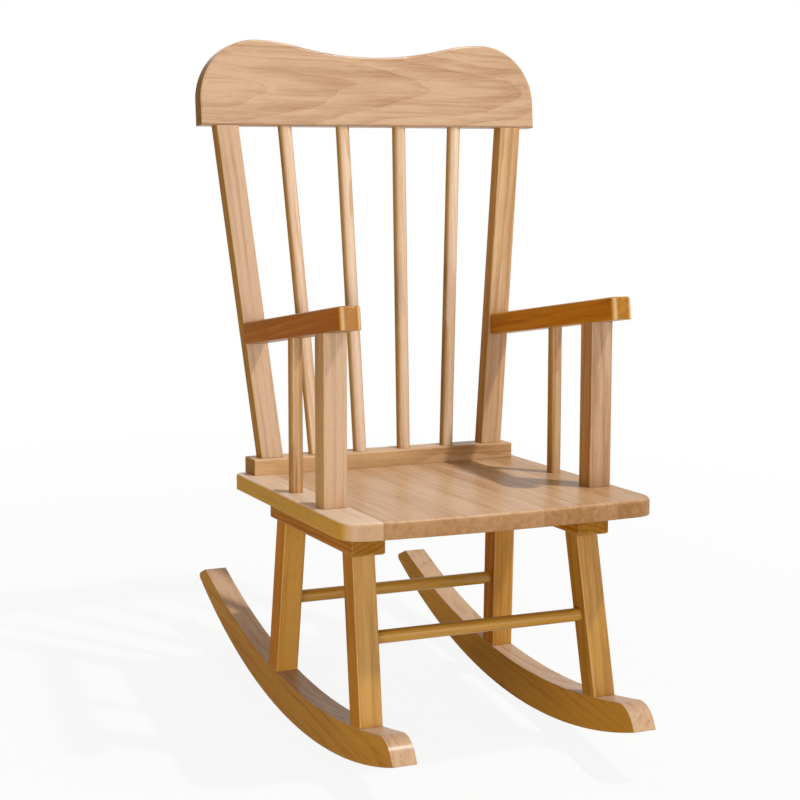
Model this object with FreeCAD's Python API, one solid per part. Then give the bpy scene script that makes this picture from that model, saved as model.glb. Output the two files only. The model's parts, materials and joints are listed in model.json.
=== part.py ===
import FreeCAD
import Part
import math
import os

Vector = FreeCAD.Vector

# A child's rocking chair in wood. The chair is drawn in the seat's own frame: x across (the
# sitter's left is +x), y from the seat's front edge to the rear, z up from the seat's top face.
# At the end it is tipped onto its own point of balance and set on the floor at z = 0.
# Sizes are in millimetres, angles in degrees.

# Seat, glued up from staves that run front to back
seat_front_width = 352.0
seat_side_taper = 4.0
seat_depth = 329.0
seat_thickness = 18.0
seat_front_bow = 8.0
seat_front_corner = 28.0
seat_rear_corner = 6.0
seat_top_round = 4.0
first_stave_width = 38.5
last_stave_width = 52.0
inner_stave_count = 3

# Rail that carries the back, lying on the seat
rail_end_inset = 12.0
rail_rear_inset = 0.5
rail_depth = 31.0
rail_height = 18.0
rail_ease = 2.0

# Back posts and spindles, fanned out between the rail and the crest rail
back_lean = 4.8
back_length = 367.0
post_end_inset = 23.5
post_fan = 38.0
post_width = 26.0
post_depth = 19.0
post_ease = 2.5
spindle_count = 4
spindle_diameter = 15.2

# Crest rail with a hump over each shoulder and a dip between them
crest_overhang = 30.5
crest_height = 94.0
crest_thickness = 20.0
crest_shoulder_radius = 66.0
crest_dip_depth = 16.5
crest_hump_share = 0.35
crest_round = 2.5

# Arms, sloping down to the back posts
arm_width = 25.0
arm_thickness = 24.0
arm_slope = 7.9
arm_outset = 2.0
arm_front_setback = 41.0
arm_front_height = 207.0
arm_front_corner = 8.0
arm_ease = 3.0
arm_end_ease = 0.6
arm_post_width = 26.0
arm_post_depth = 25.0
arm_post_setback = 92.5
arm_post_ease = 2.5
arm_spindle_diameter = 15.0
arm_spindle_setback = 186.0
arm_spindle_outset = 1.8

# Cleats under the seat, legs and stretchers
cleat_edge_inset = 47.0
cleat_width = 36.0
cleat_thickness = 27.0
cleat_front_setback = 53.0
cleat_rear_setback = 45.0
cleat_chamfer = 1.5
leg_size = 26.0
leg_ease = 2.5
leg_splay = 5.5
front_leg_setback = 79.0
front_leg_rake = 33.0
rear_leg_setback = 64.0
rear_leg_rake = 16.0
stretcher_diameter = 14.0
front_stretcher_drop = 131.5
rear_stretcher_drop = 135.0

# Rockers
rocker_width = 26.0
rocker_depth = 39.3
rocker_radius = 730.0
rocker_top_flattening = 170.0
rocker_centre_shift = 4.5
rocker_top_shift = -13.0
rocker_nose_reach = 93.0
rocker_tail_reach = 259.0
rocker_tail_cut = 28.0
rocker_nose_cut = 14.0
rocker_nose_share = 0.92
rocker_tail_round = 4.0
seat_height = 263.0

# Joinery
tenon_width = 16.0
tenon_thickness = 9.0
tenon_length = 12.0
socket_depth = 12.0
fit_clearance = 0.1
hole_end_room = 0.5

reach = 2000.0
across = Vector(1, 0, 0)
rearward = Vector(0, 1, 0)
up = Vector(0, 0, 1)


def rad(angle):
    return math.radians(angle)


# Lines and planes that several pieces share
seat_rear_width = seat_front_width - 2 * seat_side_taper
rail_length = seat_rear_width - 2 * rail_end_inset
rail_middle = seat_depth - rail_rear_inset - rail_depth / 2
post_base_spread = rail_length - 2 * post_end_inset
post_top_spread = post_base_spread + 2 * post_fan
crest_length = post_top_spread + 2 * crest_overhang
back_up = Vector(0, math.sin(rad(back_lean)), math.cos(rad(back_lean)))
back_normal = Vector(0, math.cos(rad(back_lean)), -math.sin(rad(back_lean)))
back_foot = Vector(0, rail_middle, rail_height)
back_head = back_foot + back_up * back_length
arm_along = Vector(0, math.cos(rad(arm_slope)), -math.sin(rad(arm_slope)))
arm_up = Vector(0, math.sin(rad(arm_slope)), math.cos(rad(arm_slope)))
cleat_spread = seat_front_width - 2 * cleat_edge_inset
cleat_length = seat_depth - cleat_front_setback - cleat_rear_setback
cleat_under = -seat_thickness - cleat_thickness
rocker_spread = cleat_spread + 2 * leg_splay
front_leg_foot = front_leg_setback - front_leg_rake
rear_leg_top = seat_depth - rear_leg_setback
rear_leg_foot = rear_leg_top + rear_leg_rake
rocker_centre = (front_leg_foot + rear_leg_foot) / 2 + rocker_centre_shift
rocker_top_centre = rocker_centre + rocker_top_shift
rocker_top_radius = rocker_radius + rocker_top_flattening
rocker_front_tip = front_leg_foot - rocker_nose_reach
rocker_rear_tip = rear_leg_foot + rocker_tail_reach
rocker_low = -seat_height
rocker_high = rocker_low + rocker_depth


def post_line(share):
    """Centres of the left back post, or of a spindle at a share of its spread, at foot and head."""
    foot = back_foot + across * (share * post_base_spread / 2)
    head = back_head + across * (share * post_top_spread / 2)
    return foot, head


def arm_centre_line():
    """Front end of the left arm's centre line, and where it meets the back post's front face."""
    front = Vector(0, arm_front_setback, arm_front_height) - arm_up * (arm_thickness / 2)
    face = back_foot - back_normal * (post_depth / 2)
    rear = front + arm_along * ((face - front).dot(back_normal) / arm_along.dot(back_normal))
    share = (rear - back_foot).dot(back_up) / back_length
    side = across * ((post_base_spread / 2 + share * post_fan) + arm_outset)
    return front + side, rear + side


arm_front, arm_rear = arm_centre_line()
arm_x = arm_front.x


def arm_underside(setback):
    """Point on the left arm's underside above a place on the seat."""
    run = (setback - arm_front.y) / arm_along.y
    under = arm_front + arm_along * run - arm_up * (arm_thickness / 2)
    drop = (setback - under.y) / arm_along.y
    return under + arm_along * drop


def arc_height(y, radius, centre, low):
    """Height of an upward-curving arc at a place along the chair."""
    return low + radius - math.sqrt(radius ** 2 - (y - centre) ** 2)


def floor_arc(y):
    return arc_height(y, rocker_radius, rocker_centre, rocker_low)


def rocker_top_arc(y):
    return arc_height(y, rocker_top_radius, rocker_top_centre, rocker_high)


def leg_line(top, foot):
    """Centres of a left leg where it meets the cleat and the rocker."""
    head = Vector(cleat_spread / 2, top, cleat_under)
    return head, Vector(rocker_spread / 2, foot, rocker_top_arc(foot))


front_leg = leg_line(front_leg_setback, front_leg_foot)
rear_leg = leg_line(rear_leg_top, rear_leg_foot)
arm_post_line = (Vector(arm_x, arm_post_setback, 0), arm_underside(arm_post_setback))
arm_spindle_line = [
    point + across * arm_spindle_outset
    for point in (Vector(arm_x, arm_spindle_setback, 0), arm_underside(arm_spindle_setback))
]


def mirrored(shape):
    return shape.mirror(Vector(0, 0, 0), across)


def both_sides(shapes):
    """Shapes of the left side of the chair and their mirror images."""
    return shapes + [mirrored(shape) for shape in shapes]


def trim(shape, point, normal):
    """Take away what lies beyond a plane, on the side its normal points to."""
    block = Part.makeBox(reach, reach, reach, Vector(-reach / 2, -reach / 2, 0))
    block.Placement = FreeCAD.Placement(point, FreeCAD.Rotation(up, normal))
    return shape.cut(block)


def between(start, end):
    return (end - start).normalize()


def edges_along(shape, direction):
    """Straight edges that run along a direction."""
    found = []
    for edge in shape.Edges:
        run = edge.Vertexes[-1].Point - edge.Vertexes[0].Point
        if run.Length > 0 and run.cross(direction).Length < 1e-4 * run.Length:
            found.append(edge)
    return found


def face_towards(shape, direction):
    """The flat face that lies furthest in a direction."""
    flat = [f for f in shape.Faces if f.normalAt(0, 0).dot(direction) > 0.999]
    return max(flat, key=lambda f: f.CenterOfMass.dot(direction))


def section_axes(start, end, depth_direction):
    """Unit vectors along a bar, through its depth and across its width."""
    along = between(start, end)
    deep = depth_direction - along * depth_direction.dot(along)
    deep.normalize()
    return along, deep, deep.cross(along)


def block_along(start, length, width, depth, axes):
    """Oblong block from a point, centred on the first of its axes."""
    along, deep, wide = axes
    corner = start - wide * (width / 2) - deep * (depth / 2)
    side, top = wide * width, deep * depth
    ring = [corner, corner + side, corner + side + top, corner + top, corner]
    return Part.Face(Part.makePolygon(ring)).extrude(along * length)


def bar(start, end, width, depth, depth_direction, ease):
    """Straight bar of oblong section with eased long edges, left long at both ends for trimming."""
    axes = section_axes(start, end, depth_direction)
    spare = max(width, depth)
    length = (end - start).Length + 2 * spare
    solid = block_along(start - axes[0] * spare, length, width, depth, axes)
    return solid.makeFillet(ease, edges_along(solid, axes[0]))


def tenon(start, end, depth_direction, gap=0):
    """Flat tenon beyond the end of a bar; a gap makes the mortise for it."""
    axes = section_axes(start, end, depth_direction)
    root = tenon_thickness
    length = root + tenon_length + (hole_end_room if gap else 0)
    wide, deep = tenon_width + 2 * gap, tenon_thickness + 2 * gap
    return block_along(end - axes[0] * root, length, wide, deep, axes)


def mortise(start, end, depth_direction):
    return tenon(start, end, depth_direction, fit_clearance)


def with_tenons(shape, line, depth_direction):
    """A trimmed bar with a flat tenon at each end."""
    start, end = line
    return shape.fuse([tenon(start, end, depth_direction), tenon(end, start, depth_direction)])


def peg(start, direction, diameter, length):
    return Part.makeCylinder(diameter / 2, length, start, direction)


def rod(start, end, diameter):
    """Round rod that runs a socket's depth past the surfaces it stands between."""
    along = between(start, end)
    return peg(start - along * socket_depth, along, diameter, (end - start).Length + 2 * socket_depth)


def socket(start, end, diameter):
    """Blind hole for the far end of a round rod, started a little outside the surface."""
    along = between(start, end)
    lead = diameter / 2
    length = lead + socket_depth + hole_end_room
    return peg(end - along * lead, along, diameter + 2 * fit_clearance, length)


def make_seat():
    """Seat panel with a bowed front and rounded corners, parted along its glue lines into staves."""
    low = Vector(0, 0, -seat_thickness)
    front = seat_front_width / 2
    rear = seat_rear_width / 2
    a, b = Vector(-front, 0, 0) + low, Vector(front, 0, 0) + low
    c, d = Vector(rear, seat_depth, 0) + low, Vector(-rear, seat_depth, 0) + low
    bow = Part.Arc(a, Vector(0, -seat_front_bow, 0) + low, b).toShape()
    ring = Part.Wire([bow, Part.makeLine(b, c), Part.makeLine(c, d), Part.makeLine(d, a)])
    panel = Part.Face(ring).extrude(up * seat_thickness)
    upright = edges_along(panel, up)
    panel = panel.makeFillet(seat_front_corner, [e for e in upright if e.CenterOfMass.y < seat_depth / 2])
    upright = [e for e in edges_along(panel, up) if e.CenterOfMass.y > seat_depth - 1e-6]
    panel = panel.makeFillet(seat_rear_corner, upright)
    panel = panel.makeFillet(seat_top_round, face_towards(panel, up).Edges)
    post_pocket = mortise(*reversed(arm_post_line), rearward)
    spindle_pocket = socket(*reversed(arm_spindle_line), arm_spindle_diameter)
    panel = panel.cut(both_sides([post_pocket, spindle_pocket]))
    first = first_stave_width - front
    inner = (seat_front_width - first_stave_width - last_stave_width) / inner_stave_count
    joints = [first + inner * i for i in range(inner_stave_count + 1)]
    limits = [-reach / 2] + joints + [reach / 2]
    staves = []
    for left, right in zip(limits, limits[1:]):
        strip = Part.makeBox(right - left, reach, reach, Vector(left, -reach / 2, -reach / 2))
        staves.append(panel.common(strip))
    return staves


def make_back_rail():
    """Rail on the seat, mortised for the posts and bored for the spindles."""
    corner = Vector(-rail_length / 2, rail_middle - rail_depth / 2, 0)
    rail = Part.makeBox(rail_length, rail_depth, rail_height, corner)
    rail = rail.makeFillet(rail_ease, face_towards(rail, up).Edges)
    cuts = both_sides([mortise(*reversed(post_line(1)), back_normal)])
    for share in spindle_shares():
        cuts.append(socket(*reversed(post_line(share)), spindle_diameter))
    return rail.cut(cuts)


def make_back_post():
    """Left back post, tenoned into the rail and the crest rail, and mortised for the arm."""
    foot, head = post_line(1)
    post = bar(foot, head, post_width, post_depth, back_normal, post_ease)
    post = trim(post, foot, up * -1)
    post = trim(post, head, back_up)
    post = with_tenons(post, (foot, head), back_normal)
    return post.cut(mortise(arm_front, arm_rear, arm_up))


def spindle_shares():
    """Places of the spindles as shares of the posts' spread, evenly fanned."""
    step = 2 / (spindle_count + 1)
    return [step * (i + 1) - 1 for i in range(spindle_count)]


def crest_point(x, height):
    return back_head + across * x + back_up * height


def crest_outline():
    """Front view of the crest rail: straight below, rounded shoulders, two humps and a dip."""
    half = crest_length / 2
    peak = half - crest_shoulder_radius
    start = crest_height - crest_shoulder_radius
    low = crest_height - crest_dip_depth
    slope = 2 * math.atan(crest_dip_depth / peak)
    hump = crest_hump_share * peak / math.sin(slope)
    swing = peak - hump * math.sin(slope), crest_height - hump * (1 - math.cos(slope))
    brow = peak - hump * math.sin(slope / 2), crest_height - hump * (1 - math.cos(slope / 2))
    diagonal = crest_shoulder_radius * math.sqrt(0.5)
    shoulder = peak + diagonal, start + diagonal
    side = [
        Part.makeLine(crest_point(half, 0), crest_point(half, start)),
        Part.Arc(crest_point(half, start), crest_point(*shoulder), crest_point(peak, crest_height)).toShape(),
        Part.Arc(crest_point(peak, crest_height), crest_point(*brow), crest_point(*swing)).toShape(),
    ]
    hollow = Part.Arc(crest_point(*swing), crest_point(0, low), crest_point(-swing[0], swing[1])).toShape()
    floor = Part.makeLine(crest_point(-half, 0), crest_point(half, 0))
    loop = both_sides(side) + [hollow, floor]
    return Part.Face(Part.Wire(Part.sortEdges(loop)[0]))


def make_crest():
    """Crest rail, mortised below for the posts and bored for the spindles."""
    face = crest_outline()
    face.translate(back_normal * (-crest_thickness / 2))
    crest = face.extrude(back_normal * crest_thickness)
    rims = face_towards(crest, back_normal).Edges + face_towards(crest, back_normal * -1).Edges
    crest = crest.makeFillet(crest_round, rims)
    cuts = both_sides([mortise(*post_line(1), back_normal)])
    for share in spindle_shares():
        cuts.append(socket(*post_line(share), spindle_diameter))
    return crest.cut(cuts)


def make_arm():
    """Left arm with a rounded front end, cut to the back post's face and tenoned into it."""
    spare = arm_thickness
    length = (arm_rear - arm_front).Length + spare
    arm = block_along(arm_front, length, arm_width, arm_thickness, (arm_along, arm_up, across))
    ends = [e for e in edges_along(arm, arm_up) if (e.CenterOfMass - arm_front).dot(arm_along) < 1e-6]
    arm = arm.makeFillet(arm_front_corner, ends)
    rims = [e for e in face_towards(arm, arm_up).Edges if e.CenterOfMass.y < arm_rear.y]
    arm = arm.makeFillet(arm_ease, rims)
    arm = trim(arm, back_foot - back_normal * (post_depth / 2), back_normal)
    over_rear = arm_up * (arm_thickness / 2)
    lift = over_rear - arm_along * (over_rear.dot(back_normal) / arm_along.dot(back_normal))
    arm = trim(arm, arm_rear + lift - arm_along * arm_end_ease, arm_along + arm_up)
    arm = arm.fuse(tenon(arm_front, arm_rear, arm_up))
    return arm.cut([mortise(*arm_post_line, rearward), socket(*arm_spindle_line, arm_spindle_diameter)])


def make_arm_post():
    """Left arm post, square on the seat, cut to the slope of the arm and tenoned into both."""
    foot, head = arm_post_line
    post = bar(foot, head, arm_post_width, arm_post_depth, rearward, arm_post_ease)
    post = trim(post, foot, up * -1)
    post = trim(post, head, arm_up)
    return with_tenons(post, arm_post_line, rearward)


def make_cleat():
    """Left cleat, glued under the seat and mortised for the legs."""
    corner = Vector((cleat_spread - cleat_width) / 2, cleat_front_setback, cleat_under)
    cleat = Part.makeBox(cleat_width, cleat_length, cleat_thickness, corner)
    cleat = cleat.makeChamfer(cleat_chamfer, face_towards(cleat, up * -1).Edges)
    return cleat.cut([mortise(*reversed(line), rearward) for line in (front_leg, rear_leg)])


def stretcher_line(line, drop):
    """Where a stretcher's centre line leaves the inner faces of the right and the left leg."""
    head, foot = line
    centre = head + (foot - head) * ((-drop - head.z) / (foot.z - head.z))
    wide = section_axes(head, foot, rearward)[2]
    left = centre - across * (leg_size / 2 / abs(wide.x))
    return Vector(-left.x, left.y, left.z), left


def make_leg(line, drop):
    """Left leg, cut to the cleat above, coped to the rocker's curve below, and tenoned into both."""
    head, foot = line
    leg = bar(head, foot, leg_size, leg_size, rearward, leg_ease)
    leg = trim(leg, head, up)
    leg = leg.cut(rocker_block(leg_size * 2))
    leg = with_tenons(leg, line, rearward)
    return leg.cut(socket(*stretcher_line(line, drop), stretcher_diameter))


def rocker_block(width):
    """Everything below the rocker's top curve, for coping the legs."""
    y0, y1 = rocker_front_tip, rocker_rear_tip
    a, b = Vector(0, y0, rocker_top_arc(y0)), Vector(0, y1, rocker_top_arc(y1))
    low = Vector(0, rocker_top_centre, rocker_high)
    c, d = Vector(0, y1, rocker_low - reach), Vector(0, y0, rocker_low - reach)
    sides = [Part.makeLine(b, c), Part.makeLine(c, d), Part.makeLine(d, a)]
    block = Part.Face(Part.Wire([Part.Arc(a, low, b).toShape()] + sides)).extrude(across * width)
    block.translate(across * ((rocker_spread - width) / 2))
    return block


def make_rocker():
    """Left rocker: two arcs, a full round nose in front and a slim tail, both cut at a slant."""
    y0, y1 = rocker_front_tip, rocker_rear_tip
    nose_top, tail_top = y0 + rocker_nose_cut, y1 - rocker_tail_cut
    lower = [Vector(0, y, floor_arc(y)) for y in (y0, rocker_centre, y1)]
    upper = [Vector(0, y, rocker_top_arc(y)) for y in (tail_top, rocker_top_centre, nose_top)]
    ring = [
        Part.Arc(*lower).toShape(),
        Part.makeLine(lower[2], upper[0]),
        Part.Arc(*upper).toShape(),
        Part.makeLine(upper[2], lower[0]),
    ]
    rocker = Part.Face(Part.Wire(ring)).extrude(across * rocker_width)
    rocker.translate(across * ((rocker_spread - rocker_width) / 2))
    nose_round = rocker_nose_share * (upper[2] - lower[0]).Length
    rounds = (upper[2], nose_round), (upper[0], rocker_tail_round), (lower[2], rocker_tail_round)
    for corner, radius in rounds:
        place = corner + across * (rocker_spread / 2)
        edge = min(edges_along(rocker, across), key=lambda e: (e.CenterOfMass - place).Length)
        rocker = rocker.makeFillet(radius, [edge])
    return rocker.cut([mortise(*line, rearward) for line in (front_leg, rear_leg)])


def make_pieces():
    """Every piece by node name, in the seat's own frame."""
    pieces = {}
    for number, stave in enumerate(make_seat(), start=1):
        pieces["seat_stave_%d" % number] = stave
    pieces["back_rail"] = make_back_rail()
    pieces["crest_rail"] = make_crest()
    for number, share in enumerate(spindle_shares(), start=1):
        pieces["back_spindle_%d" % number] = rod(*post_line(share), spindle_diameter)
    pairs = {
        "back_post": make_back_post(),
        "arm": make_arm(),
        "arm_post": make_arm_post(),
        "arm_spindle": rod(*arm_spindle_line, arm_spindle_diameter),
        "cleat": make_cleat(),
        "front_leg": make_leg(front_leg, front_stretcher_drop),
        "rear_leg": make_leg(rear_leg, rear_stretcher_drop),
        "rocker": make_rocker(),
    }
    for name, shape in pairs.items():
        pieces["left_" + name] = shape
        pieces["right_" + name] = mirrored(shape)
    front = stretcher_line(front_leg, front_stretcher_drop)
    rear = stretcher_line(rear_leg, rear_stretcher_drop)
    pieces["front_stretcher"] = rod(*front, stretcher_diameter)
    pieces["rear_stretcher"] = rod(*rear, stretcher_diameter)
    return pieces


def balance_point(pieces):
    """Centre of mass of the whole chair, all of one wood, in the seat's own frame."""
    solids = [solid for shape in pieces.values() for solid in shape.Solids]
    moment = Vector(0, 0, 0)
    for solid in solids:
        moment += solid.CenterOfMass * solid.Volume
    return moment * (1 / sum(solid.Volume for solid in solids))


def rest_placement(pieces):
    """Tip the chair until its weight hangs under the rockers' centre, and set it on the floor."""
    hub = Vector(0, rocker_centre, rocker_low + rocker_radius)
    hang = balance_point(pieces) - hub
    tip = FreeCAD.Rotation(Vector(0, hang.y, hang.z), up * -1)
    tipped = FreeCAD.Placement(Vector(0, 0, rocker_radius) - tip.multVec(hub), tip)
    rocker = pieces["left_rocker"].copy()
    rocker.Placement = tipped.multiply(rocker.Placement)
    box = rocker.optimalBoundingBox(False, False)
    centred = FreeCAD.Placement(Vector(0, -(box.YMin + box.YMax) / 2, 0), FreeCAD.Rotation())
    return centred.multiply(tipped)


def main():
    os.makedirs("parts", exist_ok=True)
    pieces = make_pieces()
    rest = rest_placement(pieces)
    for name, shape in pieces.items():
        shape.Placement = rest.multiply(shape.Placement)
        shape.exportStep("parts/%s.step" % name)


if __name__ == "__main__":
    main()
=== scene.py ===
"""A child's rocking chair: lacquered finishes for its wooden pieces and a plain studio stage."""

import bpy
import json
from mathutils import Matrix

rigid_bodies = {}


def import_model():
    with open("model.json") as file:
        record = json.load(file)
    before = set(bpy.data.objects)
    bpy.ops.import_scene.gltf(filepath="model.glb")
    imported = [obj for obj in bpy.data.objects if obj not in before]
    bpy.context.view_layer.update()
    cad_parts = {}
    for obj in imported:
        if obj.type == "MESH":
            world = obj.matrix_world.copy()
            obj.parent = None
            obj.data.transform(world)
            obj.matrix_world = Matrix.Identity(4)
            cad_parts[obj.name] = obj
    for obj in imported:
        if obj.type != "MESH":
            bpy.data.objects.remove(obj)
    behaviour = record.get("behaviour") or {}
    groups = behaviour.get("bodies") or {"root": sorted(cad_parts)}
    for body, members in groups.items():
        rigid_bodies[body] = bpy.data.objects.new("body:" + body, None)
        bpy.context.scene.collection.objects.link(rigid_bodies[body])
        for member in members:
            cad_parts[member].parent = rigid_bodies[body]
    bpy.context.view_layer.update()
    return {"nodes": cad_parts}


bl_info = {
    "name": "Child's rocking chair",
    "version": (1, 0, 0),
    "blender": (4, 5, 0),
    "location": "3D View > Sidebar > Chair",
    "description": "Dresses the pieces of a wooden rocking chair and sets up a plain studio stage",
    "category": "Object",
}

import json
import math
from collections import namedtuple

import bmesh
import bpy
import numpy as np
from bpy.props import FloatProperty, FloatVectorProperty, PointerProperty
from mathutils import Matrix, Vector

for leftover in list(bpy.data.objects):
    bpy.data.objects.remove(leftover)

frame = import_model()
NODES = frame["nodes"]
SIDES = ("left", "right")

# Each piece is cut from its own place in the log: a step along it and a turn about it.
LOG_STEP = 0.41
GOLDEN_ANGLE = math.pi * (3 - math.sqrt(5))
# The wave texture draws one ring in this length at a scale of 1.
RING_AT_SCALE_ONE = 2 * math.pi / 20
LATE_WOOD_POWER = 1.8

# Sway of the growth lines: how far they wander, and features per metre along the grain and
# around it.
SWAY_WIDTH = 0.016
SWAY_ALONG, SWAY_AROUND, SWAY_DETAIL = 4.0, 14.0, 3.0

# Layers of colour over the rings: features per metre along the grain and around it, octaves and
# their roughness, how much paler and deeper the wood gets, and whether the layer sways.
Layer = namedtuple("Layer", "along around detail roughness paler deeper sways")
NOISE_ROUGHNESS = 0.55
LAYERS = {
    "blotches": Layer(5.0, 16.0, 2.0, NOISE_ROUGHNESS, -0.26, 0.26, False),
    "streaks": Layer(1.6, 34.0, 3.0, NOISE_ROUGHNESS, -0.20, 0.34, False),
    "bands": Layer(2.6, 150.0, 2.0, NOISE_ROUGHNESS, -0.34, 0.34, True),
    "fibres": Layer(9.0, 420.0, 4.0, 0.65, -0.28, 0.28, True),
}
NOISE_LOW, NOISE_HIGH = 0.3, 0.7

# Pores: features per metre, the part of the noise that is open, how dark and how rough they are.
PORE_ALONG, PORE_AROUND, PORE_DETAIL = 70.0, 1300.0, 1.0
PORE_START, PORE_FULL = 0.60, 0.72
PORE_SHARE, PORE_ROUGHNESS = 0.22, 0.15

# A face counts as a side or an end once its normal leans this far, from nothing to fully.
SIDE_START, SIDE_FULL = 0.60, 0.95
END_START, END_FULL = 0.55, 0.95
# A front corner, the mask for a painted highlight, lies between these leans to the side and faces
# this far forward.
CORNER_IN, CORNER_OUT = (0.20, 0.50), (0.90, 0.60)
CORNER_FORWARD = (-0.30, -0.60)

# Lacquer: its weight on open faces and along edges, and how the bare wood below it shines.
COAT, EDGE_COAT, COAT_ROUGHNESS = 0.5, 0.4, 0.28
WOOD_SPECULAR = 0.02
FIBRE_LOW, FIBRE_HIGH = 0.25, 0.75
SMOOTH_FIBRE, ROUGH_FIBRE = 0.36, 0.46
FIBRE_HEIGHT = 0.5
BUMP_STRENGTH, BUMP_DEPTH = 0.25, 0.0003
EDGE_WEAR = 0.22
EDGE_SAMPLES = 6
EDGE_COSINE = 0.80

# Stage: half the floor's width, and how white the floor looks near the chair and far from it.
FLOOR_REACH = 12.0
NEAR_FLOOR, FAR_FLOOR = (0.35, 0.90), (1.3, 1.0)
SENSOR_WIDTH = 36.0
LAMP_TARGET = Vector((0.0, 0.0, 0.35))
WHITE = (1.0, 1.0, 1.0)
WARM = (1.0, 0.88, 0.66)
# Lamps: name, place, width, the setting with the power, colour.
LAMPS = (
    ("key_lamp", (1.15, -0.86, 3.20), 0.14, "key_power", WHITE),
    ("front_lamp", (0.9, -3.5, 0.8), 2.4, "front_power", WHITE),
    ("fill_lamp", (-2.3, -2.0, 0.35), 0.8, "fill_power", WARM),
    ("rear_lamp", (-0.3, 2.6, 2.3), 1.4, "rear_power", WHITE),
)


def colour_setting(name, description, default):
    """A colour that a user may change."""
    return FloatVectorProperty(
        name=name, description=description, subtype="COLOR", size=3, min=0, max=1, default=default)


def power_setting(name, description, default):
    """The power of a lamp."""
    return FloatProperty(name=name, description=description, subtype="POWER", default=default)


def angle_setting(name, description, degrees):
    """A turn of the camera."""
    return FloatProperty(
        name=name, description=description, subtype="ANGLE", default=math.radians(degrees))


class ChairWoodSettings(bpy.types.PropertyGroup):
    """Colours and grain of the lacquered wood."""

    blush_pale: colour_setting(
        "Blush, early wood",
        "Wood of the crest rail, a back post, the arm posts and rockers, between the growth lines",
        (0.495, 0.330, 0.210))
    blush_deep: colour_setting(
        "Blush, late wood",
        "Wood of the crest rail, a back post, the arm posts and rockers, along the growth lines",
        (0.335, 0.180, 0.090))
    cream_pale: colour_setting(
        "Cream, early wood", "Wood of the back spindles and first stave, between the growth lines",
        (0.680, 0.508, 0.378))
    cream_deep: colour_setting(
        "Cream, late wood", "Wood of the back spindles and first stave, along the growth lines",
        (0.480, 0.300, 0.150))
    peach_pale: colour_setting(
        "Peach, early wood", "Wood of the other staves, between the growth lines",
        (0.555, 0.364, 0.220))
    peach_deep: colour_setting(
        "Peach, late wood", "Wood of the other staves, along the growth lines",
        (0.404, 0.228, 0.107))
    wheat_pale: colour_setting(
        "Wheat, early wood",
        "Wood of the back rail, a back post and the arm spindles, between the growth lines",
        (0.545, 0.352, 0.188))
    wheat_deep: colour_setting(
        "Wheat, late wood",
        "Wood of the back rail, a back post and the arm spindles, along the growth lines",
        (0.372, 0.190, 0.072))
    honey_pale: colour_setting(
        "Honey, early wood",
        "Wood of the cleats, front legs and stretchers, between the growth lines",
        (0.450, 0.240, 0.038))
    honey_deep: colour_setting(
        "Honey, late wood",
        "Wood of the cleats, front legs and stretchers, along the growth lines",
        (0.304, 0.134, 0.011))
    amber_pale: colour_setting(
        "Amber, early wood", "Wood of the arms and rear legs, between the growth lines",
        (0.510, 0.265, 0.050))
    amber_deep: colour_setting(
        "Amber, late wood", "Wood of the arms and rear legs, along the growth lines",
        (0.340, 0.138, 0.014))
    pore: colour_setting(
        "Pores", "Short open pores filled with lacquer", (0.200, 0.080, 0.016))
    # Pale wood on worn edges, and painted highlight on the round front corners
    wear_and_highlight: colour_setting(
        "Rubbed edges and painted corner highlight", "Edges where the lacquer is thin and the wood shows paler, and a painted highlight on the front corners",
        (0.750, 0.520, 0.290))
    # Painted shade: a darker, more golden colour multiplied onto the faces that turn to the left and
    # right
    side: colour_setting(
        "Side faces, painted shade", "Painted shade on the faces to the left and right",
        (0.92, 0.68, 0.14))
    sawn: colour_setting("Sawn ends", "Stain on the sawn ends", (0.70, 0.62, 0.53))
    ring_spacing: FloatProperty(
        name="Growth ring spacing", description="Distance between growth lines",
        unit="LENGTH", default=0.0085, min=0.001, max=0.05)
    edge_ease: FloatProperty(
        name="Sanded edge", description="Radius to which the sharp edges are sanded",
        unit="LENGTH", default=0.002, min=0.0, max=0.005)


class ChairStageSettings(bpy.types.PropertyGroup):
    """Camera, lamps and floor."""

    camera_place: FloatVectorProperty(
        name="Camera place", description="Where the camera stands", subtype="TRANSLATION",
        unit="LENGTH", size=3, default=(-0.8536, -1.7936, 0.8025))
    camera_yaw: angle_setting("Camera yaw", "Turn of the camera about the upright", -24.874)
    camera_pitch: angle_setting("Camera pitch", "Tilt of the camera from the horizon", -12.953)
    camera_roll: angle_setting("Camera roll", "Turn of the camera about its own view", 2.668)
    lens: FloatProperty(
        name="Lens", description="Focal length on a 36 mm sensor", subtype="DISTANCE_CAMERA",
        default=83.78)
    key_power: power_setting("Key lamp", "Power of the small lamp high at the front right", 82.0)
    front_power: power_setting(
        "Front lamp", "Power of the large soft lamp low at the front right", 50.0)
    fill_power: power_setting("Fill lamp", "Power of the warm lamp low at the left", 33.0)
    rear_power: power_setting("Rear lamp", "Power of the weak lamp behind", 14.0)
    sky: FloatProperty(
        name="Room light", description="Strength of the even light of the room", default=0.30)
    sky_colour: colour_setting(
        "Room light colour", "Colour of the even light of the room", (1.0, 0.84, 0.62))
    floor: colour_setting("Floor", "Colour of the pale floor", (0.64, 0.64, 0.64))


def put(tree, kind, **settings):
    """Adds a node; a setting that the node doesn't have itself is the value of an input."""
    node = tree.nodes.new(kind)
    for name, value in settings.items():
        if hasattr(node, name):
            setattr(node, name, value)
        else:
            node.inputs[name.replace("_", " ").title()].default_value = value
    return node


def feed(tree, socket, value):
    """Links another node's output to a socket, or sets the socket to a plain value."""
    if isinstance(value, bpy.types.NodeSocket):
        tree.links.new(value, socket)
    else:
        socket.default_value = value


def maths(tree, operation, first, second, clamp=False):
    """Adds a maths node on outputs or plain numbers and returns its output."""
    node = put(tree, "ShaderNodeMath", operation=operation, use_clamp=clamp)
    feed(tree, node.inputs[0], first)
    feed(tree, node.inputs[1], second)
    return node.outputs[0]


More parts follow.
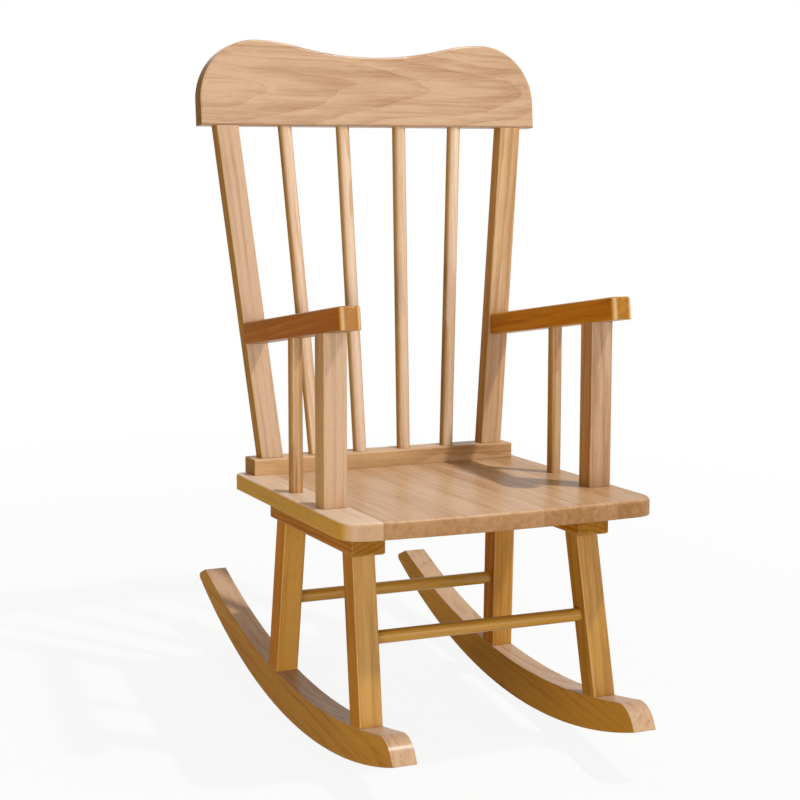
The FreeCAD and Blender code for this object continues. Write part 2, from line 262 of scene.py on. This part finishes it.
def magnitude(tree, value):
    """Adds a node for a value without its sign and returns its output."""
    node = put(tree, "ShaderNodeMath", operation="ABSOLUTE")
    tree.links.new(value, node.inputs[0])
    return node.outputs[0]


def lean_towards(tree, first, second):
    """Adds the dot product of two directions and returns its output."""
    node = put(tree, "ShaderNodeVectorMath", operation="DOT_PRODUCT")
    tree.links.new(first, node.inputs[0])
    tree.links.new(second, node.inputs[1])
    return node.outputs["Value"]


def blend(tree, share, first, second, manner="MIX"):
    """Adds a colour mix and returns its output."""
    node = put(tree, "ShaderNodeMix", data_type="RGBA", blend_type=manner)
    for number, value in ((0, share), (6, first), (7, second)):
        feed(tree, node.inputs[number], value)
    return node.outputs[2]


def remap(tree, value, low, high, start=0.0, end=1.0):
    """Adds a clamped range map and returns its output."""
    node = tree.nodes.new("ShaderNodeMapRange")
    tree.links.new(value, node.inputs[0])
    for socket, number in zip(node.inputs[1:5], (low, high, start, end)):
        socket.default_value = number
    return node.outputs[0]


def stretched_noise(tree, vector, along, around, detail, roughness=NOISE_ROUGHNESS):
    """Adds noise drawn out along the grain, by features per metre along it and around it."""
    scaled = put(tree, "ShaderNodeVectorMath", operation="MULTIPLY")
    scaled.inputs[1].default_value = (along, around, around)
    tree.links.new(vector, scaled.inputs[0])
    noise = put(tree, "ShaderNodeTexNoise", scale=1.0, detail=detail, roughness=roughness)
    tree.links.new(scaled.outputs[0], noise.inputs["Vector"])
    return noise.outputs


def seen_directly(tree):
    """Adds a mask of the rays of the camera and of mirrored and clear surfaces."""
    path = tree.nodes.new("ShaderNodeLightPath").outputs
    seen = maths(tree, "MAXIMUM", path["Is Camera Ray"], path["Is Transmission Ray"])
    return maths(tree, "MAXIMUM", seen, path["Is Glossy Ray"])


def new_group(name, inputs, outputs):
    """Starts a shader node group with named sockets."""
    tree = bpy.data.node_groups.new(name, "ShaderNodeTree")
    for in_out, sockets in (("INPUT", inputs), ("OUTPUT", outputs)):
        for label, kind in sockets:
            tree.interface.new_socket(label, in_out=in_out, socket_type="NodeSocket" + kind)
    return tree, tree.nodes.new("NodeGroupInput").outputs, tree.nodes.new("NodeGroupOutput").inputs


def grain_group():
    """Solid wood from a log: rings about the X axis, colour layers, pores, painted side shade,
    corner highlight mask.
    """
    if "Lacquered grain" in bpy.data.node_groups:
        return bpy.data.node_groups["Lacquered grain"]
    tree, given, result = new_group(
        "Lacquered grain",
        [("Vector", "Vector"), ("Pale", "Color"), ("Deep", "Color"), ("Pore", "Color"),
         ("Ring Scale", "Float"), ("Ring Strength", "Float"), ("Tone", "Float"),
         ("Axis", "Vector"), ("End Grain", "Float"), ("Side", "Color"), ("Side Share", "Float"),
         ("Sawn", "Color")],
        [("Color", "Color"), ("Roughness", "Float"), ("Height", "Float"), ("Sheen", "Float"),
         ("Corner", "Float")])

    # Growth rings that sway along the log
    sway = stretched_noise(tree, given["Vector"], SWAY_ALONG, SWAY_AROUND, SWAY_DETAIL)
    shift = put(tree, "ShaderNodeVectorMath", operation="MULTIPLY_ADD")
    shift.inputs[1].default_value = (0.0, SWAY_WIDTH, SWAY_WIDTH)
    tree.links.new(sway["Color"], shift.inputs[0])
    tree.links.new(given["Vector"], shift.inputs[2])
    swayed = shift.outputs[0]
    rings = put(tree, "ShaderNodeTexWave", wave_type="RINGS", rings_direction="X",
                wave_profile="SAW", distortion=0.6, detail=2.0, detail_scale=0.6)
    tree.links.new(swayed, rings.inputs["Vector"])
    tree.links.new(given["Ring Scale"], rings.inputs["Scale"])
    late_wood = maths(tree, "POWER", rings.outputs["Fac"], LATE_WOOD_POWER)
    depth = maths(tree, "MULTIPLY", late_wood, given["Ring Strength"])

    # Layers of colour over the rings
    noise = {}
    for name, layer in LAYERS.items():
        vector = swayed if layer.sways else given["Vector"]
        noise[name] = stretched_noise(
            tree, vector, layer.along, layer.around, layer.detail, layer.roughness)["Fac"]
        part = remap(tree, noise[name], NOISE_LOW, NOISE_HIGH, layer.paler, layer.deeper)
        depth = maths(tree, "ADD", depth, part)
    depth = maths(tree, "ADD", depth, given["Tone"], clamp=True)
    colour = blend(tree, depth, given["Pale"], given["Deep"])
    pores = remap(tree, stretched_noise(tree, swayed, PORE_ALONG, PORE_AROUND, PORE_DETAIL)["Fac"],
                  PORE_START, PORE_FULL)
    colour = blend(tree, maths(tree, "MULTIPLY", pores, PORE_SHARE), colour, given["Pore"])

    # Painted shade on the side faces, and stain on the sawn ends, which the lacquer sinks into
    normal = tree.nodes.new("ShaderNodeTexCoord").outputs["Normal"]
    split = tree.nodes.new("ShaderNodeSeparateXYZ")
    tree.links.new(normal, split.inputs[0])
    across = magnitude(tree, split.outputs["X"])
    sideways = remap(tree, across, SIDE_START, SIDE_FULL)
    lengthways = magnitude(tree, lean_towards(tree, normal, given["Axis"]))
    ends = maths(tree, "MULTIPLY", remap(tree, lengthways, END_START, END_FULL), given["End Grain"])
    side_shade_share = maths(tree, "MULTIPLY", sideways, given["Side Share"])
    colour = blend(tree, side_shade_share, colour, given["Side"], "MULTIPLY")
    colour = blend(tree, ends, colour, given["Sawn"], "MULTIPLY")
    tree.links.new(colour, result["Color"])
    open_face = maths(tree, "SUBTRACT", 1.0, maths(tree, "MAXIMUM", sideways, ends))
    tree.links.new(maths(tree, "MULTIPLY", open_face, COAT), result["Sheen"])

    # Painted highlight on the round corners at the front, given as a mask for a pale colour
    round_corner = maths(
        tree, "MULTIPLY", remap(tree, across, *CORNER_IN), remap(tree, across, *CORNER_OUT))
    forward = remap(tree, split.outputs["Y"], *CORNER_FORWARD)
    tree.links.new(maths(tree, "MULTIPLY", round_corner, forward), result["Corner"])

    # Fibres and pores felt through the lacquer
    rough = remap(tree, noise["fibres"], FIBRE_LOW, FIBRE_HIGH, SMOOTH_FIBRE, ROUGH_FIBRE)
    rough_pores = maths(tree, "MULTIPLY", pores, PORE_ROUGHNESS)
    tree.links.new(maths(tree, "ADD", rough, rough_pores), result["Roughness"])
    raised = maths(tree, "MULTIPLY", noise["fibres"], FIBRE_HEIGHT)
    tree.links.new(maths(tree, "SUBTRACT", raised, pores), result["Height"])
    return tree


def edge_group():
    """Softly sanded edges: a rounded normal along sharp edges and a mask of the edges themselves."""
    if "Sanded edge" in bpy.data.node_groups:
        return bpy.data.node_groups["Sanded edge"]
    tree, given, result = new_group(
        "Sanded edge", [("Radius", "Float")], [("Normal", "Vector"), ("Edge", "Float")])
    rounding = put(tree, "ShaderNodeBevel", samples=EDGE_SAMPLES)
    tree.links.new(given["Radius"], rounding.inputs["Radius"])
    tree.links.new(rounding.outputs["Normal"], result["Normal"])
    flat = tree.nodes.new("ShaderNodeNewGeometry").outputs["True Normal"]
    bend = lean_towards(tree, rounding.outputs["Normal"], flat)
    tree.links.new(remap(tree, bend, 1.0, EDGE_COSINE), result["Edge"])
    return tree


def grain_axes(piece):
    """Middle of a piece, and its axes from the longest to the shortest as a turning matrix."""
    places = np.array([vertex.co[:] for vertex in piece.data.vertices])
    middle = (places.min(axis=0) + places.max(axis=0)) / 2
    spread = np.linalg.eigh(np.cov((places - places.mean(axis=0)).T))[1][:, ::-1]
    along, wide = Vector(spread[:, 0]), Vector(spread[:, 1])
    if along[max(range(3), key=lambda i: abs(along[i]))] < 0:
        along = -along
    deep = along.cross(wide).normalized()
    wide = deep.cross(along)
    return Vector(middle), Matrix((along, wide, deep)).transposed()


def wood(name, settings, number, tint, tone=0.0, pith=0.085, lean=0.03, strength=0.55, spacing=1.0,
         end_grain=0.0, side_shade_share=1.0, side_shade=1.0, sheen=1.0, corner_highlight=0.3):
    """Gives a piece its own cut of the same wood, with the grain along the piece.

    number picks the cut, tint the colours and tone how deep they are. pith is the distance from
    the log's middle, lean the slant of the grain, and strength and spacing are the growth lines'.
    The rest: how much the sawn ends, the painted side shade, the lacquer and the painted corner
    highlight show.
    """
    piece = NODES[name]
    middle, turn = grain_axes(piece)
    material = bpy.data.materials.new("wood_" + piece.name)
    material.use_nodes = True
    tree = material.node_tree
    shader = tree.nodes["Principled BSDF"].inputs

    place = tree.nodes.new("ShaderNodeTexCoord")
    cut = turn @ Matrix.Rotation(lean, 3, "Y") @ Matrix.Rotation(GOLDEN_ANGLE * number, 3, "X")
    mapping = put(tree, "ShaderNodeMapping", vector_type="TEXTURE")
    mapping.inputs["Location"].default_value = middle - cut @ Vector((LOG_STEP * number, pith, 0.0))
    mapping.inputs["Rotation"].default_value = cut.to_euler()
    tree.links.new(place.outputs["Object"], mapping.inputs["Vector"])

    grain = put(tree, "ShaderNodeGroup", node_tree=grain_group())
    tree.links.new(mapping.outputs["Vector"], grain.inputs["Vector"])
    colours = {
        "Pale": getattr(settings, tint + "_pale"),
        "Deep": getattr(settings, tint + "_deep"),
        "Pore": settings.pore,
        # painted shade for the side faces, deepened further by side_shade
        "Side": [side_shade * part for part in settings.side],
        "Sawn": settings.sawn,
    }
    for label, colour in colours.items():
        grain.inputs[label].default_value = (*colour, 1.0)
    values = {
        "Ring Scale": RING_AT_SCALE_ONE / (settings.ring_spacing * spacing),
        "Ring Strength": strength,
        "Tone": tone,
        "Axis": turn.col[0],
        "End Grain": end_grain,
        "Side Share": side_shade_share,
    }
    for label, value in values.items():
        grain.inputs[label].default_value = value
    edge = put(tree, "ShaderNodeGroup", node_tree=edge_group(), radius=settings.edge_ease)

    # Paler wood on worn edges, and a painted highlight on the round front corners
    edge_worn = maths(tree, "MULTIPLY", edge.outputs["Edge"], EDGE_WEAR)
    painted_corner_highlight = maths(tree, "MULTIPLY", grain.outputs["Corner"], corner_highlight)
    wear_and_highlight = maths(tree, "MAXIMUM", edge_worn, painted_corner_highlight)
    colour = blend(tree, wear_and_highlight, grain.outputs["Color"], (*settings.wear_and_highlight, 1.0))
    tree.links.new(colour, shader["Base Color"])
    tree.links.new(grain.outputs["Roughness"], shader["Roughness"])
    bump = put(tree, "ShaderNodeBump", strength=BUMP_STRENGTH, distance=BUMP_DEPTH)
    tree.links.new(grain.outputs["Height"], bump.inputs["Height"])
    tree.links.new(edge.outputs["Normal"], bump.inputs["Normal"])
    tree.links.new(bump.outputs["Normal"], shader["Normal"])
    edge_coat = maths(tree, "MULTIPLY", edge.outputs["Edge"], EDGE_COAT)
    coat = maths(tree, "MAXIMUM", grain.outputs["Sheen"], edge_coat)
    tree.links.new(maths(tree, "MULTIPLY", coat, sheen), shader["Coat Weight"])
    shader["Coat Roughness"].default_value = COAT_ROUGHNESS
    shader["Specular IOR Level"].default_value = WOOD_SPECULAR
    piece.data.materials.clear()
    piece.data.materials.append(material)


class CHAIR_OT_seat(bpy.types.Operator):
    """Finish the seat's staves, each from another board, the last two deeper partly as painted shade
    """

    bl_idname = "chair.seat"
    bl_label = "Seat staves"

    def execute(self, context):
        # Each board has its own tone; the deeper fourth and fifth boards also stand in for the arm's
        # shadow on that side of the seat, painted shade
        boards = (("cream", -0.15), ("peach", 0.10), ("peach", 0.05), ("peach", 0.45),
                  ("peach", 0.90))
        for number, (tint, tone) in enumerate(boards, start=1):
            wood("seat_stave_%d" % number, context.scene.chair_wood, number, tint, tone,
                 pith=0.07 + 0.02 * number, lean=0.02, strength=0.22, spacing=1.5, end_grain=1.0,
                 side_shade=0.8, sheen=0.65, corner_highlight=0.0)
        return {"FINISHED"}


class CHAIR_OT_crest(bpy.types.Operator):
    """Finish the crest rail with flat-sawn figure"""

    bl_idname = "chair.crest"
    bl_label = "Crest rail"

    def execute(self, context):
        wood("crest_rail", context.scene.chair_wood, 11, "blush", 0.12, pith=0.05, lean=0.06,
             strength=0.42, spacing=0.7, side_shade=0.5)
        return {"FINISHED"}


class CHAIR_OT_back(bpy.types.Operator):
    """Finish the back rail, the back posts and the spindles"""

    bl_idname = "chair.back"
    bl_label = "Back rail, posts and spindles"

    def execute(self, context):
        settings = context.scene.chair_wood
        wood("back_rail", settings, 17, "wheat", -0.2, side_shade=0.6, sheen=0.6)
        wood("left_back_post", settings, 20, "wheat", 0.2, side_shade_share=0.6)
        wood("right_back_post", settings, 21, "blush", -0.3, side_shade=0.75)
        for number in range(1, 5):
            wood("back_spindle_%d" % number, settings, 23 + number, "cream", 0.04 * (number % 2),
                 side_shade_share=0.9, side_shade=0.62, corner_highlight=0.0)
        return {"FINISHED"}


class CHAIR_OT_arms(bpy.types.Operator):
    """Finish the arms, their posts and spindles"""

    bl_idname = "chair.arms"
    bl_label = "Arms"

    def execute(self, context):
        settings = context.scene.chair_wood
        arm_tones, arm_ends = (-0.05, 0.8), (0.9, 0.2)
        post_tones, spindle_tones = (0.40, -0.05), (0.05, 0.4)
        for number, side in enumerate(SIDES):
            wood(side + "_arm", settings, 30 + number, "amber", arm_tones[number],
                 end_grain=arm_ends[number], corner_highlight=0.75)
            wood(side + "_arm_post", settings, 33 + number, "blush", post_tones[number],
                 side_shade_share=0.5)
            wood(side + "_arm_spindle", settings, 36 + number, "wheat", spindle_tones[number],
                 side_shade_share=0.8, side_shade=0.8, corner_highlight=0.0)
        return {"FINISHED"}


class CHAIR_OT_underframe(bpy.types.Operator):
    """Finish the cleats, legs and stretchers"""

    bl_idname = "chair.underframe"
    bl_label = "Cleats, legs and stretchers"

    def execute(self, context):
        settings = context.scene.chair_wood
        leg_tones, leg_sides = (0.45, -0.15), (0.2, 0.8)
        for number, side in enumerate(SIDES):
            wood(side + "_cleat", settings, 40 + number, "honey", 0.1, strength=0.9, spacing=0.6,
                 end_grain=0.9)
            wood(side + "_front_leg", settings, 43 + number, "honey", leg_tones[number],
                 side_shade_share=leg_sides[number], sheen=0.8)
            wood(side + "_rear_leg", settings, 46 + number, "amber", -0.15, sheen=0.6)
        for number, name in enumerate(("front_stretcher", "rear_stretcher"), start=50):
            wood(name, settings, number, "honey", -0.15, side_shade_share=0.4, corner_highlight=0.0)
        return {"FINISHED"}


class CHAIR_OT_rockers(bpy.types.Operator):
    """Finish the rockers"""

    bl_idname = "chair.rockers"
    bl_label = "Rockers"

    def execute(self, context):
        for number, side in enumerate(SIDES, start=60):
            wood(side + "_rocker", context.scene.chair_wood, number, "blush", -0.2, pith=0.11,
                 sheen=0.6)
        return {"FINISHED"}


class CHAIR_OT_stage(bpy.types.Operator):
    """Set up the floor, the lamps, the room light and the camera"""

    bl_idname = "chair.stage"
    bl_label = "Studio stage"

    def execute(self, context):
        scene = context.scene
        settings = scene.chair_stage
        scene.view_settings.view_transform = "Standard"
        self.lay_floor(scene, settings)
        self.light_room(scene, settings)
        for name, place, width, power, colour in LAMPS:
            self.hang_lamp(scene, name, place, width, getattr(settings, power), colour)
        self.place_camera(scene, settings)
        return {"FINISHED"}

    def lay_floor(self, scene, settings):
        """A pale floor that looks white but for a faint shadow near the chair."""
        shape = bmesh.new()
        bmesh.ops.create_grid(shape, x_segments=1, y_segments=1, size=FLOOR_REACH)
        mesh = bpy.data.meshes.new("floor")
        shape.to_mesh(mesh)
        shape.free()
        floor = bpy.data.objects.new("floor", mesh)
        scene.collection.objects.link(floor)
        material = bpy.data.materials.new("pale_floor")
        material.use_nodes = True
        tree = material.node_tree
        shader = tree.nodes["Principled BSDF"]
        shader.inputs["Base Color"].default_value = (*settings.floor, 1.0)
        shader.inputs["Roughness"].default_value = 0.9
        shader.inputs["Specular IOR Level"].default_value = 0.1
        place = tree.nodes.new("ShaderNodeTexCoord")
        away = put(tree, "ShaderNodeVectorMath", operation="LENGTH")
        tree.links.new(place.outputs["Object"], away.inputs[0])
        (near, near_white), (far, far_white) = NEAR_FLOOR, FAR_FLOOR
        white = remap(tree, away.outputs["Value"], near, far, near_white, far_white)
        glow = tree.nodes.new("ShaderNodeEmission")
        mix = tree.nodes.new("ShaderNodeMixShader")
        tree.links.new(maths(tree, "MULTIPLY", seen_directly(tree), white), mix.inputs[0])
        tree.links.new(shader.outputs[0], mix.inputs[1])
        tree.links.new(glow.outputs[0], mix.inputs[2])
        tree.links.new(mix.outputs[0], tree.nodes["Material Output"].inputs["Surface"])
        mesh.materials.append(material)

    def light_room(self, scene, settings):
        """A warm even light, behind a backdrop that is seen as white."""
        world = bpy.data.worlds.new("room")
        world.use_nodes = True
        scene.world = world
        tree = world.node_tree
        backdrop = tree.nodes["Background"]
        seen = seen_directly(tree)
        colour = blend(tree, seen, (*settings.sky_colour, 1.0), (*WHITE, 1.0))
        tree.links.new(colour, backdrop.inputs["Color"])
        strength = remap(tree, seen, 0.0, 1.0, settings.sky, 1.0)
        tree.links.new(strength, backdrop.inputs["Strength"])

    def hang_lamp(self, scene, name, place, width, power, colour):
        """A round lamp that points at the chair."""
        lamp = bpy.data.lights.new(name, "AREA")
        lamp.shape = "DISK"
        lamp.size = width
        lamp.energy = power
        lamp.color = colour
        holder = bpy.data.objects.new(name, lamp)
        holder.location = place
        aim = LAMP_TARGET - Vector(place)
        holder.rotation_euler = aim.to_track_quat("-Z", "Y").to_euler()
        scene.collection.objects.link(holder)

    def place_camera(self, scene, settings):
        """The camera, level when its pitch and roll are nought."""
        data = bpy.data.cameras.new("camera")
        data.sensor_width = SENSOR_WIDTH
        data.lens = settings.lens
        camera = bpy.data.objects.new("camera", data)
        turn = (Matrix.Rotation(settings.camera_yaw, 3, "Z")
                @ Matrix.Rotation(math.pi / 2 + settings.camera_pitch, 3, "X")
                @ Matrix.Rotation(settings.camera_roll, 3, "Z"))
        camera.location = settings.camera_place
        camera.rotation_euler = turn.to_euler()
        scene.collection.objects.link(camera)
        scene.camera = camera


STEPS = (CHAIR_OT_seat, CHAIR_OT_crest, CHAIR_OT_back, CHAIR_OT_arms, CHAIR_OT_underframe,
         CHAIR_OT_rockers, CHAIR_OT_stage)


class CHAIR_PT_panel(bpy.types.Panel):
    """Lists the chair's settings and steps"""

    bl_idname = "CHAIR_PT_panel"
    bl_label = "Rocking chair"
    bl_space_type = "VIEW_3D"
    bl_region_type = "UI"
    bl_category = "Chair"

    def draw(self, context):
        for group in (context.scene.chair_wood, context.scene.chair_stage):
            box = self.layout.box()
            for name in group.__annotations__:
                box.prop(group, name)
        for step in STEPS:
            self.layout.operator(step.bl_idname)


CLASSES = (ChairWoodSettings, ChairStageSettings) + STEPS + (CHAIR_PT_panel,)


def register():
    for item in CLASSES:
        bpy.utils.register_class(item)
    bpy.types.Scene.chair_wood = PointerProperty(type=ChairWoodSettings)
    bpy.types.Scene.chair_stage = PointerProperty(type=ChairStageSettings)


def unregister():
    del bpy.types.Scene.chair_stage
    del bpy.types.Scene.chair_wood
    for item in reversed(CLASSES):
        bpy.utils.unregister_class(item)


def main():
    register()
    bpy.ops.chair.seat()
    bpy.ops.chair.crest()
    bpy.ops.chair.back()
    bpy.ops.chair.arms()
    bpy.ops.chair.underframe()
    bpy.ops.chair.rockers()
    bpy.ops.chair.stage()


if __name__ == "__main__":
    main()
